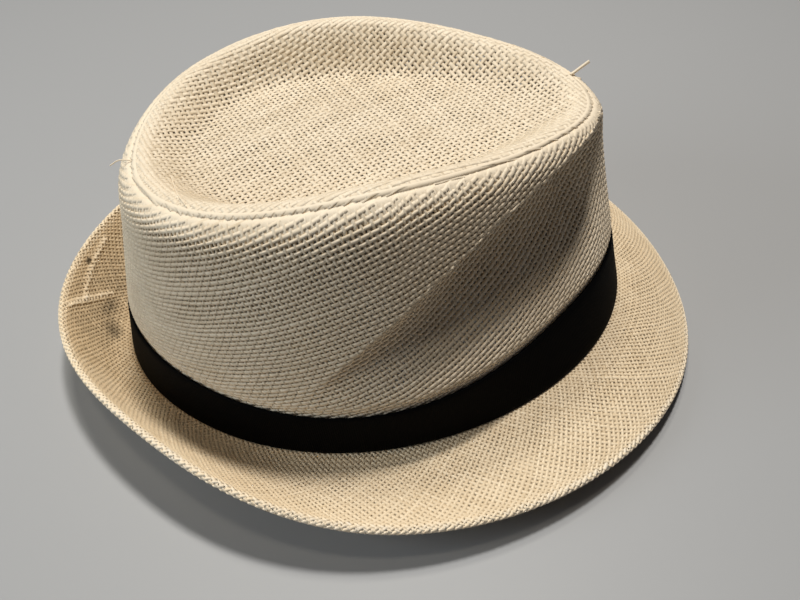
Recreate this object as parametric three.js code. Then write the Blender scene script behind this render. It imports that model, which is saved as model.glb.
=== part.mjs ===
// Straw fedora: a woven crown with a pinched front, a hollow teardrop tip, a plain ribbon and a short brim.
// Millimetres, +Z up, the wearer's face towards -Y. The brim is turned up behind and down in front, so the
// hat rests on the front edge of the brim and on the back of the fold where brim and crown meet.
import * as THREE from 'three';

// Walls and gaps
const STRAW_WALL = 1.6;
const BRIM_WALL = 2.8;
const RIBBON_WALL = 1;
const GAP = 0.3;

// Ribbon, whose outer face at the brim is an egg-shaped oval that bulges a little at the back
const RIBBON_HALF_LENGTH = 101;
const RIBBON_HALF_WIDTH = 84;
const RIBBON_NARROWING = 0.04;
const RIBBON_HEIGHT = 22.4;

// Seam between side and tip, a teardrop with its point at the front
const SEAM_HALF_LENGTH = 82;
const SEAM_HALF_WIDTH = 59;
const SEAM_NARROWING = 0.24;
const SEAM_CENTRE = -3.5;

// Swell of the side: the straw stands out just above the ribbon, is fullest high up and has a rounded
// shoulder just below the seam. Heights are shares of the side between ribbon and seam
const RIBBON_SWELL = 1.3;
const RIBBON_SWELL_TOP = 0.07;
const SWELL_PEAK = 0.58;
const SWELL_POWER = 5;
const SHOULDER = 2.4;
const SHOULDER_POWER = 8;

// Hollow of the tip: level of its floor, distances from the seam where its sloping wall starts and ends, and the
// low roll beside the seam
const FLOOR_HEIGHT = 79;
const FLOOR_CENTRE = 14;
const HOLLOW_RIM = 5;
const HOLLOW_WALL = 21.5;
const ROLL_HEIGHT = 0.8;
const ROLL_WIDTH = 9;

// Brim
const BRIM_CURL = 0.3;
const EDGE_ROUND = 1;
const REST_FLAT = 0.4;

// Sections round the hat. angle: degrees from the front; brimSlope: degrees up from the fold to the edge;
// brimWidth: fold to edge; foldOut: how far the fold bulges out of its oval; ribbonInset: how far the
// ribbon's top edge leans in; seamHeight: seam above the fold; fullness: side's swell
const SECTIONS = [
  { angle: 0, brimSlope: -33, brimWidth: 35.6, foldOut: 0, ribbonInset: 3.5, seamHeight: 81, fullness: 2 },
  { angle: 45, brimSlope: -16, brimWidth: 35.6, foldOut: 0, ribbonInset: 8, seamHeight: 87, fullness: 2 },
  { angle: 90, brimSlope: 9, brimWidth: 35.6, foldOut: 0, ribbonInset: -1.5, seamHeight: 94, fullness: 4 },
  { angle: 135, brimSlope: 49, brimWidth: 33, foldOut: 0, ribbonInset: 2.5, seamHeight: 90, fullness: 3.5 },
  { angle: 180, brimSlope: 51, brimWidth: 31.5, foldOut: 5, ribbonInset: 5.5, seamHeight: 85, fullness: 2.5 },
];

// Pinch on each side of the front: a hollow that opens towards the front under a slanting crest. It is full
// from frontLow at its foot, or frontHigh under its crest, to backFull, and runs out at backEnd.
// Angles are degrees from the front; heights are shares of the side between ribbon and seam
const PINCH = {
  depth: 15,
  frontLow: 40,
  frontHigh: 18,
  backFull: 60,
  backEnd: 108,
  floorHeight: 0.05,
  crestBack: 0.1,
  crestFront: 0.95,
  crestCurve: 2.8,
  lean: 1.6,
};

// Facets: steps round the hat and the rows across each wall. One row of the side follows the pinch's crest
// between two heights; the rows below it are shares of its height
const TURNS = 90;
const FOOT_ROWS = [-1, -0.5, 0];
const UNDER_CREST_ROWS = [0.09, 0.2, 0.33, 0.47, 0.62, 0.76, 0.89, 1];
const CREST_ROW_LOW = 0.42;
const CREST_ROW_HIGH = 0.86;
const SHOULDER_ROWS = [0.9, 0.955, 1];
const RIBBON_ROWS = [0, 0.5, 1];
const TIP_ROWS = [GAP, 2, 5, 10, 15, 22];
const TIP_INNER_ROWS = [0.62, 0.3];
const BRIM_ROWS = [1, 0.72, 0.45, 0.2, 0];

// Colours read from the straw and the ribbon
const STRAW_COLOUR = 0xdcc7a3;
const RIBBON_COLOUR = 0x070707;

const FULL_TURN = 2 * Math.PI;
const NUDGE = 1e-3;

const smooth = (from, to, value) => THREE.MathUtils.smoothstep((value - from) / (to - from), 0, 1);

// Degrees away from the front, 0 to 180, the same on both sides of the hat
function fromFront(turn) {
  const degrees = THREE.MathUtils.radToDeg(turn);
  const wrapped = THREE.MathUtils.euclideanModulo(degrees, 360);
  return Math.min(wrapped, 360 - wrapped);
}

// One column of the section table, carried smoothly round the hat
function section(column, turn) {
  const step = SECTIONS[1].angle;
  const last = SECTIONS.length - 1;
  const place = fromFront(turn) / step;
  const row = Math.min(Math.floor(place), last - 1);
  const at = (index) => SECTIONS[last - Math.abs(last - Math.abs(index))][column];
  const t = place - row;
  const slopeHere = (at(row + 1) - at(row - 1)) / 2;
  const slopeNext = (at(row + 2) - at(row)) / 2;
  const hermite = {
    here: 2 * t ** 3 - 3 * t ** 2 + 1,
    next: 3 * t ** 2 - 2 * t ** 3,
    slopeHere: t ** 3 - 2 * t ** 2 + t,
    slopeNext: t ** 3 - t ** 2,
  };
  const value = hermite.here * at(row) + hermite.next * at(row + 1);
  return value + hermite.slopeHere * slopeHere + hermite.slopeNext * slopeNext;
}

// Egg-shaped oval seen from above, narrower towards the front
function oval(turn, halfLength, halfWidth, narrowing, centre) {
  const x = halfWidth * Math.sin(turn) * (1 - narrowing * Math.cos(turn));
  const y = centre - halfLength * Math.cos(turn);
  return new THREE.Vector3(x, y, 0);
}

const ribbonOval = (turn) => oval(turn, RIBBON_HALF_LENGTH, RIBBON_HALF_WIDTH, RIBBON_NARROWING, 0);
const seamOval = (turn) => oval(turn, SEAM_HALF_LENGTH, SEAM_HALF_WIDTH, SEAM_NARROWING, SEAM_CENTRE);

// Level direction straight out of an oval
function outward(ovalAt, turn) {
  const along = ovalAt(turn + NUDGE).sub(ovalAt(turn - NUDGE));
  return new THREE.Vector3(along.y, -along.x, 0).normalize();
}

// Fold between ribbon and brim
function foldOval(turn) {
  return ribbonOval(turn).addScaledVector(outward(ribbonOval, turn), section('foldOut', turn));
}

// Ribbon: share runs from its lower to its upper edge, depth goes in from its outer face
function ribbonPoint(turn, share, depth) {
  const inset = section('ribbonInset', turn) * share + depth;
  const point = foldOval(turn).addScaledVector(outward(foldOval, turn), -inset);
  return point.setZ(GAP + (RIBBON_HEIGHT - GAP) * share);
}

// Height of the pinch's crest as a share of the side from ribbon to seam
function crestHeight(turn) {
  const fall = Math.min(fromFront(turn) / PINCH.backEnd, 1) ** PINCH.crestCurve;
  return THREE.MathUtils.lerp(PINCH.crestFront, PINCH.crestBack, fall);
}

// Depth of the front pinch, with height as a share of the side from ribbon to seam
function pinchDepth(turn, height) {
  const angle = fromFront(turn);
  const crest = crestHeight(turn);
  const share = THREE.MathUtils.clamp((height - PINCH.floorHeight) / (crest - PINCH.floorHeight), 0, 1);
  const across = Math.sin(Math.PI * share ** PINCH.lean);
  const front = smooth(0, THREE.MathUtils.lerp(PINCH.frontLow, PINCH.frontHigh, share), angle);
  return PINCH.depth * across * front * smooth(PINCH.backEnd, PINCH.backFull, angle);
}

// How far the side stands out of a straight line from ribbon to seam, so that it rounds over to the seam
function standOut(turn, height) {
  const overRibbon = RIBBON_SWELL * smooth(0, RIBBON_SWELL_TOP, height) * (1 - height);
  const swell = (height * (1 - height ** SWELL_POWER)) / SWELL_PEAK;
  const shoulder = 4 * height ** SHOULDER_POWER * (1 - height ** SHOULDER_POWER);
  return overRibbon + section('fullness', turn) * swell + SHOULDER * shoulder;
}

function seamPoint(turn) {
  return seamOval(turn).setZ(section('seamHeight', turn));
}

// Outer face of the crown's side: height is -1 at the brim, 0 at the ribbon's top edge and 1 at the seam
function sidePoint(turn, height) {
  const behind = RIBBON_WALL + GAP;
  if (height <= 0) {
    return ribbonPoint(turn, 1 + height, behind);
  }
  const point = ribbonPoint(turn, 1, behind).lerp(seamPoint(turn), height);
  const push = standOut(turn, height) - pinchDepth(turn, height);
  return point.addScaledVector(outward(foldOval, turn), push);
}

// Outer face of the tip: inset runs in from the seam towards the middle of the floor
function tipPoint(turn, inset) {
  const seam = seamPoint(turn);
  const middle = new THREE.Vector3(0, FLOOR_CENTRE, 0);
  const ray = middle.sub(seam).setZ(0);
  const length = ray.length();
  ray.normalize();
  const square = -ray.dot(outward(seamOval, turn));
  const clear = inset * square;
  const sink = smooth(HOLLOW_RIM, HOLLOW_WALL, clear);
  const roll = ROLL_HEIGHT * Math.sin(Math.PI * Math.min(clear / ROLL_WIDTH, 1)) ** 2;
  const floor = smooth(0, length, inset);
  const height = THREE.MathUtils.lerp(seam.z, FLOOR_HEIGHT, Math.max(sink, floor)) + roll;
  return seam.addScaledVector(ray, inset).setZ(height);
}

const tipLength = (turn) => seamOval(turn).distanceTo(new THREE.Vector3(0, FLOOR_CENTRE, 0));

// Upper face of the brim: reach runs from the ribbon's face out to the edge along an easy curl
function brimPoint(turn, reach) {
  const slope = THREE.MathUtils.degToRad(section('brimSlope', turn));
  const width = section('brimWidth', turn);
  const bend = 2 * (1 - reach) * reach * BRIM_CURL * width;
  const run = bend + reach ** 2 * width * Math.cos(slope);
  const rise = reach ** 2 * width * Math.sin(slope);
  return foldOval(turn).addScaledVector(outward(foldOval, turn), run).setZ(rise);
}

// Unit normal of a face given by a point function of turn and one more measure
function normalAt(face, turn, measure) {
  const around = face(turn + NUDGE, measure).sub(face(turn - NUDGE, measure));
  const along = face(turn, measure + NUDGE).sub(face(turn, measure - NUDGE));
  return around.cross(along).normalize();
}

const sunk = (point, direction, depth) => point.clone().addScaledVector(direction, -depth);

// Shared direction of the cut where side and tip meet
function seamMitre(turn) {
  const side = normalAt(sidePoint, turn, 1 - NUDGE);
  const tip = normalAt(tipPoint, turn, GAP);
  return side.add(tip).normalize();
}

// Sections of each piece: loops of points, one for each step round the hat

// Heights of the side's rows: behind the ribbon, up to the pinch's crest and on over the shoulder to the seam
function sideRows(turn) {
  const crest = THREE.MathUtils.clamp(crestHeight(turn), CREST_ROW_LOW, CREST_ROW_HIGH);
  const between = (crest + SHOULDER_ROWS[0]) / 2;
  return [...FOOT_ROWS, ...UNDER_CREST_ROWS.map((share) => share * crest), between, ...SHOULDER_ROWS];
}

function sideLoop(turn) {
  const rows = sideRows(turn);
  const top = rows.length - 1;
  const level = outward(foldOval, turn);
  const outer = rows.map((height) => sidePoint(turn, height));
  const inner = outer.map((point, row) => {
    if (row === top) {
      return sunk(point, seamMitre(turn), STRAW_WALL);
    }
    const bare = rows[row] > 0;
    return sunk(point, bare ? normalAt(sidePoint, turn, rows[row]) : level, STRAW_WALL);
  });
  return [...outer, ...inner.reverse()];
}

function ribbonLoop(turn) {
  const outer = RIBBON_ROWS.map((share) => ribbonPoint(turn, share, 0));
  const inner = RIBBON_ROWS.map((share) => ribbonPoint(turn, share, RIBBON_WALL));
  return [...outer, ...inner.reverse()];
}

// From the middle of the tip's lower face out to the seam and back over its upper face
function tipLoop(turn) {
  const length = tipLength(turn);
  const last = TIP_ROWS[TIP_ROWS.length - 1];
  const insets = [...TIP_ROWS, ...TIP_INNER_ROWS.map((share) => length - (length - last) * share)];
  const upper = insets.map((inset) => tipPoint(turn, inset));
  const lower = upper.map((point, row) => {
    const direction = row === 0 ? seamMitre(turn) : normalAt(tipPoint, turn, insets[row]);
    return sunk(point, direction, STRAW_WALL);
  });
  const middle = new THREE.Vector3(0, FLOOR_CENTRE, FLOOR_HEIGHT);
  const below = sunk(middle, new THREE.Vector3(0, 0, 1), STRAW_WALL);
  return [below, ...lower.reverse(), ...upper, middle];
}

// The brim reaches in under the ribbon and the crown's wall, and its edge is folded round
function brimLoop(turn) {
  const shelf = RIBBON_WALL + GAP + STRAW_WALL;
  const inner = foldOval(turn).addScaledVector(outward(foldOval, turn), -shelf);
  const upper = BRIM_ROWS.map((reach) => brimPoint(turn, reach));
  const directions = BRIM_ROWS.map((reach) => normalAt(brimPoint, turn, reach).negate());
  const lower = upper.map((point, row) => sunk(point, directions[row], BRIM_WALL));
  const edgeOut = upper[0].clone().sub(upper[1]).normalize();
  const nose = upper[0].clone().lerp(lower[0], 0.5).addScaledVector(edgeOut, EDGE_ROUND);
  return [...upper, inner, inner.clone().setZ(-BRIM_WALL), ...lower.reverse(), nose];
}

const turns = Array.from({ length: TURNS }, (_, step) => (FULL_TURN * step) / TURNS);

// Resting place: the hat leans back until the front edge and the back of the fold touch one level plane
const tipped = (point, lean) => point.clone().applyAxisAngle(new THREE.Vector3(1, 0, 0), -lean);
const brimSections = turns.map(brimLoop);

function lowest(lean, half) {
  const points = brimSections.flat().filter((point) => Math.sign(point.y) === half);
  return Math.min(...points.map((point) => tipped(point, lean).z));
}

function restingLean() {
  let [level, steep] = [0, 0.2];
  for (let pass = 0; pass < 40; pass += 1) {
    const lean = (level + steep) / 2;
    const frontIsLower = lowest(lean, -1) < lowest(lean, 1);
    [level, steep] = frontIsLower ? [lean, steep] : [level, lean];
  }
  return (level + steep) / 2;
}

const LEAN = restingLean();
const RAISE = -lowest(LEAN, 1) - REST_FLAT;
const brimReach = brimSections.flat().map((point) => tipped(point, LEAN).y);
const SHIFT = -(Math.min(...brimReach) + Math.max(...brimReach)) / 2;

function settled(point) {
  const placed = tipped(point, LEAN).add(new THREE.Vector3(0, SHIFT, RAISE));
  return placed.setZ(Math.max(placed.z, 0));
}

// Carries a section round the hat. A closed loop makes a ring; otherwise its two ends are single points
function sweep(loopAt, closed) {
  const loops = turns.map(loopAt);
  const size = loops[0].length;
  const positions = loops.flat().flatMap((point) => settled(point).toArray());
  const isEnd = (row) => !closed && (row === 0 || row === size - 1);
  const index = (step, row) => (isEnd(row) ? row : (step % TURNS) * size + row);
  const triangles = [];
  const rows = closed ? size : size - 1;
  for (let step = 0; step < TURNS; step += 1) {
    for (let row = 0; row < rows; row += 1) {
      const above = (row + 1) % size;
      const quad = [index(step, row), index(step + 1, row), index(step + 1, above), index(step, above)];
      if (quad[0] !== quad[1]) triangles.push(quad[0], quad[1], quad[2]);
      if (quad[2] !== quad[3]) triangles.push(quad[0], quad[2], quad[3]);
    }
  }
  return indexed(positions, triangles);
}

// Keeps only the points that the triangles use
function indexed(positions, triangles) {
  const used = [...new Set(triangles)];
  const renumbered = new Map(used.map((old, fresh) => [old, fresh]));
  const kept = used.flatMap((old) => positions.slice(3 * old, 3 * old + 3));
  const geometry = new THREE.BufferGeometry();
  geometry.setAttribute('position', new THREE.Float32BufferAttribute(kept, 3));
  geometry.setIndex(triangles.map((old) => renumbered.get(old)));
  geometry.computeVertexNormals();
  return geometry;
}

function piece(name, geometry, color, roughness) {
  const material = new THREE.MeshStandardMaterial({ color, roughness, metalness: 0 });
  const mesh = new THREE.Mesh(geometry, material);
  mesh.name = name;
  return mesh;
}

const fedora = new THREE.Group();
fedora.add(
  piece('crown_side', sweep(sideLoop, true), STRAW_COLOUR, 0.8),
  piece('crown_tip', sweep(tipLoop, false), STRAW_COLOUR, 0.8),
  piece('ribbon_band', sweep(ribbonLoop, true), RIBBON_COLOUR, 0.7),
  piece('brim', sweep(brimLoop, true), STRAW_COLOUR, 0.8),
);

export default fedora;
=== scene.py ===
"""Straw fedora: woven crown and brim, seam stitching, black ribbon and loose threads, set round its frame."""

import logging
import math
from dataclasses import dataclass, field
from enum import Enum
from typing import Callable

import bpy
import numpy as np
from mathutils import Matrix, Vector

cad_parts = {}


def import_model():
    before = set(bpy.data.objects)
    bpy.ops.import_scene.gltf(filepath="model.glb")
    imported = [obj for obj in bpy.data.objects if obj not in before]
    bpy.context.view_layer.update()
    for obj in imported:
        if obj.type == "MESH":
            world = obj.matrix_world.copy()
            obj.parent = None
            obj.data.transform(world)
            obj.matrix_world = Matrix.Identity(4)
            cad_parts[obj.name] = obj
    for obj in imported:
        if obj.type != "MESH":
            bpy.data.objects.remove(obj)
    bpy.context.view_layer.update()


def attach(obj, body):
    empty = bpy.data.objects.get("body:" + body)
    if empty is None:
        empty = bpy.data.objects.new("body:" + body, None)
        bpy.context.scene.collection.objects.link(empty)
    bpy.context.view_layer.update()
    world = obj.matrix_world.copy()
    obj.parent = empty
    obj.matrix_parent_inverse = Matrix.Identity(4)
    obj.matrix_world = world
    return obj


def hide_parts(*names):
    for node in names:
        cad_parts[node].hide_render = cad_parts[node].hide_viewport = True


LOG = logging.getLogger("straw_fedora")
BAKE_MAP = "OFBake"
STRAND_MAP = "StrandUV"
MM = 0.001
FULL_TURN = 2 * math.pi
# Small step for slopes of the form, in radians, millimetres or shares.
NUDGE = 1e-3
# Entries of a table once round the hat.
TABLE_STEPS = 1440
# Crossings between the samples of a strand, on faces that show and on hidden ones.
FINE_STEP = 0.5
COARSE_STEP = 1.0
# Shortest piece of a strand, as a share of a sample step, and fewest points of a strand.
SHORTEST_STEP = 0.08
FEWEST_POINTS = 3
# Sides of a strand's tube, for the strands that stand out most and for the rest.
FULL_SIDES = 4
FEW_SIDES = 3
# Distance between neighbouring strands in the waves that make yarns uneven, in millimetres.
STRAND_STRIDE = 37.0
# Half thicknesses of a strand that its middle keeps above the floor.
FLOOR_ROOM = 1.45
# Groove along the seam, in millimetres.
GROOVE_DEPTH = 0.8
GROOVE_HALF = 1.3
# How much paler the cloth is where it is pressed flat beside the seam.
PRESS_BLEACH = 0.2

Array = np.ndarray
Place = tuple[float, float, float]
Colour = tuple[float, float, float, float]
Face = Callable[[Array, Array], Array]
GridMap = Callable[[Array, Array], tuple[Array, Array]]


class Family(Enum):
    """The two directions of strands in a plain weave."""

    WARP = 1
    WEFT = -1

    @property
    def word(self) -> str:
        """Word for its strands in the names of pieces."""
        return "rows" if self is Family.WARP else "columns"


def smooth(low: float, high: float, value: Array) -> Array:
    """Eased step from 0 at low to 1 at high."""
    share = np.clip((value - low) / (high - low), 0.0, 1.0)
    return share * share * (3.0 - 2.0 * share)


def unit(vectors: Array) -> Array:
    """Vectors brought to length one."""
    return vectors / np.maximum(np.linalg.norm(vectors, axis=-1, keepdims=True), 1e-12)


def raised(points: Array, height: Array) -> Array:
    """Copy of the points with their heights replaced."""
    moved = points.copy()
    moved[..., 2] = height
    return moved


@dataclass(frozen=True)
class Section:
    """One radial section of the hat: degrees from the front, brim slope, and sizes in millimetres."""

    from_front: float
    brim_slope: float
    brim_width: float
    fold_out: float
    ribbon_inset: float
    seam_height: float
    fullness: float


@dataclass(frozen=True)
class Pinch:
    """Hollow on each side of the front, in degrees from the front and shares of the side's height."""

    depth: float = 15.0
    front_low: float = 40.0
    front_high: float = 18.0
    back_full: float = 60.0
    back_end: float = 108.0
    floor_height: float = 0.05
    crest_back: float = 0.1
    crest_front: float = 0.95
    crest_curve: float = 2.8
    lean: float = 1.6


@dataclass
class HatForm:
    """Smooth form of the hat in millimetres, from which every piece takes its surface."""

    straw_wall: float = 1.6
    brim_wall: float = 2.8
    ribbon_wall: float = 1.0
    gap: float = 0.3
    fold_half: tuple[float, float] = (101.0, 84.0)
    fold_narrowing: float = 0.04
    ribbon_height: float = 22.4
    seam_half: tuple[float, float] = (82.0, 59.0)
    seam_narrowing: float = 0.24
    seam_centre: float = -3.5
    ribbon_swell: float = 1.3
    ribbon_swell_top: float = 0.07
    swell_peak: float = 0.58
    swell_power: int = 5
    shoulder: float = 2.4
    shoulder_power: int = 8
    floor_height: float = 79.0
    floor_centre: float = 14.0
    hollow_rim: float = 5.0
    hollow_wall: float = 21.5
    roll_height: float = 0.8
    roll_width: float = 9.0
    brim_curl: float = 0.3
    rest_flat: float = 0.4
    steepest_lean: float = 0.2
    lean_halvings: int = 40
    lean_samples: tuple[int, int] = (90, 6)
    pinch: Pinch = field(default_factory=Pinch)
    sections: tuple[Section, ...] = (
        Section(0, -33, 35.6, 0, 3.5, 81, 2),
        Section(45, -16, 35.6, 0, 8, 87, 2),
        Section(90, 9, 35.6, 0, -1.5, 94, 4),
        Section(135, 49, 33, 0, 2.5, 90, 3.5),
        Section(180, 51, 31.5, 5, 5.5, 85, 2.5),
    )

    def __post_init__(self) -> None:
        """Finds how the hat leans and where it stands on the floor."""
        self.lean, self.lift, self.shift = 0.0, 0.0, 0.0
        self.settle()

    @staticmethod
    def from_front(turn: Array) -> Array:
        """Degrees away from the front, 0 to 180, the same on both sides."""
        degrees = np.degrees(turn) % 360.0
        return np.minimum(degrees, 360.0 - degrees)

    def section(self, column: str, turn: Array) -> Array:
        """One column of the section table, carried smoothly round the hat.

        Args:
            column: Name of the section's field.
            turn: Angles round the hat from its front, in radians.

        Returns:
            The column's value at each angle.
        """
        values = np.array([getattr(row, column) for row in self.sections], float)
        last = len(values) - 1
        place = self.from_front(turn) / self.sections[1].from_front
        row = np.minimum(np.floor(place).astype(int), last - 1)
        t = place - row

        def at(index: Array) -> Array:
            """Table value with the rows mirrored past both ends."""
            return values[last - np.abs(last - np.abs(index))]

        slope_here = (at(row + 1) - at(row - 1)) / 2
        slope_next = (at(row + 2) - at(row)) / 2
        blended = (2 * t**3 - 3 * t**2 + 1) * at(row) + (3 * t**2 - 2 * t**3) * at(row + 1)
        return blended + (t**3 - 2 * t**2 + t) * slope_here + (t**3 - t**2) * slope_next

    @staticmethod
    def oval(turn: Array, half: tuple[float, float], narrowing: float, centre: float) -> Array:
        """Egg-shaped oval seen from above, narrower towards the front."""
        x = half[1] * np.sin(turn) * (1 - narrowing * np.cos(turn))
        return np.stack([x, centre - half[0] * np.cos(turn), np.zeros_like(x)], -1)

    def egg(self, turn: Array) -> Array:
        """Plain egg-shaped oval from which the fold is drawn."""
        return self.oval(turn, self.fold_half, self.fold_narrowing, 0.0)

    def fold_oval(self, turn: Array) -> Array:
        """Outer face of the ribbon where it meets the brim."""
        out = self.section("fold_out", turn)[..., None]
        return self.egg(turn) + self.outward(self.egg, turn) * out

    def seam_oval(self, turn: Array) -> Array:
        """Seam between side and tip, seen from above."""
        return self.oval(turn, self.seam_half, self.seam_narrowing, self.seam_centre)

    @staticmethod
    def outward(oval_at: Callable[[Array], Array], turn: Array) -> Array:
        """Level direction straight out of an oval."""
        along = oval_at(turn + NUDGE) - oval_at(turn - NUDGE)
        return unit(np.stack([along[..., 1], -along[..., 0], np.zeros_like(turn)], -1))

    def ribbon(self, turn: Array, share: Array, depth: float | Array) -> Array:
        """Point on the ribbon, share of its height up and depth in from its outer face."""
        inset = self.section("ribbon_inset", turn) * share + depth
        point = self.fold_oval(turn) - self.outward(self.fold_oval, turn) * inset[..., None]
        return raised(point, self.gap + (self.ribbon_height - self.gap) * share)

    def pinch_depth(self, turn: Array, height: Array) -> Array:
        """Depth of the front pinch at a share of the side's height."""
        pinch, angle = self.pinch, self.from_front(turn)
        reach = np.clip(1 - angle / pinch.back_end, 0, 1)
        rise = 1 - (1 - reach) ** pinch.crest_curve
        crest = pinch.crest_back + (pinch.crest_front - pinch.crest_back) * rise
        share = np.clip((height - pinch.floor_height) / (crest - pinch.floor_height), 0, 1)
        across = np.sin(np.pi * share**pinch.lean)
        front = smooth(0, pinch.front_low + (pinch.front_high - pinch.front_low) * share, angle)
        return pinch.depth * across * front * smooth(pinch.back_end, pinch.back_full, angle)

    def seam(self, turn: Array) -> Array:
        """Point on the seam between side and tip."""
        return raised(self.seam_oval(turn), self.section("seam_height", turn))

    def side(self, turn: Array, height: Array) -> Array:
        """Outer face of the crown's side.

        Args:
            turn: Angles round the hat from its front, in radians.
            height: 0 at the ribbon's top edge, 1 at the seam, below 0 behind the ribbon.

        Returns:
            The points.
        """
        behind = self.ribbon_wall + self.gap
        up = np.clip(height, 0, 1)
        foot = self.ribbon(turn, 1 + np.minimum(height, 0), behind)
        over_ribbon = self.ribbon_swell * smooth(0, self.ribbon_swell_top, up) * (1 - up)
        swell = up * (1 - up**self.swell_power) / self.swell_peak
        shoulder = 4 * up**self.shoulder_power * (1 - up**self.shoulder_power)
        push = over_ribbon + self.section("fullness", turn) * swell + self.shoulder * shoulder
        push = push - self.pinch_depth(turn, up)
        point = foot + (self.seam(turn) - foot) * up[..., None]
        return point + self.outward(self.fold_oval, turn) * push[..., None]

    def tip_ray(self, turn: Array) -> tuple[Array, Array]:
        """Level direction and distance from the seam to the middle of the tip's floor."""
        ray = np.array([0.0, self.floor_centre, 0.0]) - self.seam_oval(turn)
        length = np.linalg.norm(ray, axis=-1)
        return ray / length[..., None], length

    def tip_clear(self, turn: Array, inset: Array) -> Array:
        """Distance square from the seam of a point that lies inset along its ray."""
        ray, _ = self.tip_ray(turn)
        return -inset * (ray * self.outward(self.seam_oval, turn)).sum(-1)

    def tip(self, turn: Array, inset: Array) -> Array:
        """Outer face of the tip, inset from the seam towards the middle of its floor."""
        seam = self.seam(turn)
        ray, length = self.tip_ray(turn)
        clear = self.tip_clear(turn, inset)
        sink = np.maximum(smooth(self.hollow_rim, self.hollow_wall, clear), smooth(0, 1, inset / length))
        roll = self.roll_height * np.sin(np.pi * np.clip(clear / self.roll_width, 0, 1)) ** 2
        height = seam[..., 2] + (self.floor_height - seam[..., 2]) * sink + roll
        return raised(seam + ray * inset[..., None], height)

    def brim(self, turn: Array, reach: Array) -> Array:
        """Upper face of the brim, from the ribbon's face at 0 to the edge at 1."""
        slope = np.radians(self.section("brim_slope", turn))
        width = self.section("brim_width", turn)
        bend = 2 * (1 - reach) * reach * self.brim_curl * width
        run = bend + reach**2 * width * np.cos(slope)
        rise = reach**2 * width * np.sin(slope)
        return raised(self.fold_oval(turn) + self.outward(self.fold_oval, turn) * run[..., None], rise)

    @staticmethod
    def normal(face: Face, turn: Array, measure: Array) -> Array:
        """Unit normal of a face given by turn and one more measure."""
        around = face(turn + NUDGE, measure) - face(turn - NUDGE, measure)
        along = face(turn, measure + NUDGE) - face(turn, measure - NUDGE)
        return unit(np.cross(around, along))

    def brim_up(self, turn: Array, reach: Array) -> Array:
        """Unit normal of the brim's upper face."""
        return -self.normal(self.brim, turn, reach)

    def settle(self) -> None:
        """Leans the hat back until its front edge and the back of its fold touch one level plane."""
        turns = np.linspace(0, FULL_TURN, self.lean_samples[0], endpoint=False)
        turn, reach = np.meshgrid(turns, np.linspace(0, 1, self.lean_samples[1]))
        lower = (self.brim(turn, reach) - self.brim_up(turn, reach) * self.brim_wall).reshape(-1, 3)
        front = lower[:, 1] < 0
        level, steep = 0.0, self.steepest_lean
        for _ in range(self.lean_halvings):
            self.lean = (level + steep) / 2
            heights = self.tipped(lower)[:, 2]
            if heights[front].min() < heights[~front].min():
                level = self.lean
            else:
                steep = self.lean
        self.lift = -self.tipped(lower)[:, 2].min() - self.rest_flat
        edge = self.tipped(self.brim(turn[:1], np.ones_like(turn[:1]))[0])
        self.shift = -(edge[:, 1].min() + edge[:, 1].max()) / 2

    def tipped(self, points: Array) -> Array:
        """Points leaned back about the X axis."""
        cos, sin = math.cos(self.lean), math.sin(self.lean)
        y = points[..., 1] * cos + points[..., 2] * sin
        z = points[..., 2] * cos - points[..., 1] * sin
        return np.stack([points[..., 0], y, z], -1)

    def place(self, points: Array) -> Array:
        """Points of the form in the frame, in metres."""
        return (self.tipped(points) + np.array([0.0, self.shift, self.lift])) * MM


class Wander:
    """Smooth seeded unevenness: a sum of a few waves over cloth coordinates in millimetres."""

    WAVES: int = 7

    def __init__(self, seed: int, longest: float, shortest: float, around: float | None = None) -> None:
        """Draws the waves.

        Args:
            seed: Seed of the draw.
            longest: Longest wave in millimetres.
            shortest: Shortest wave in millimetres.
            around: Length after which the first coordinate closes on itself.
        """
        rng = np.random.default_rng(seed)
        lengths = np.geomspace(longest, shortest, self.WAVES)
        angles = rng.uniform(0, FULL_TURN, self.WAVES)
        self.kx = FULL_TURN / lengths * np.cos(angles)
        self.ky = FULL_TURN / lengths * np.sin(angles)
        self.phase = rng.uniform(0, FULL_TURN, self.WAVES)
        self.scale = math.sqrt(2.0 / self.WAVES)
        if around:
            self.kx = np.round(self.kx * around / FULL_TURN) * FULL_TURN / around

    def __call__(self, x: Array, y: Array) -> Array:
        """Unevenness at each place, about one either way."""
        total = np.zeros_like(x)
        for kx, ky, phase in zip(self.kx, self.ky, self.phase):
            total += np.sin(kx * x + ky * y + phase)
        return total * self.scale


@dataclass(frozen=True)
class Strand:
    """Paper yarn in one direction of the cloth, and how far it rises and falls, in millimetres."""

    width: float
    thickness: float
    lift: float

    def toward(self, other: "Strand", share: Array) -> tuple[Array, Array, Array]:
        """Width, thickness and lift at a share of the way to another yarn."""
        pairs = ((self.width, other.width), (self.thickness, other.thickness), (self.lift, other.lift))
        width, thickness, lift = (start + (end - start) * share for start, end in pairs)
        return width, thickness, lift


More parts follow.
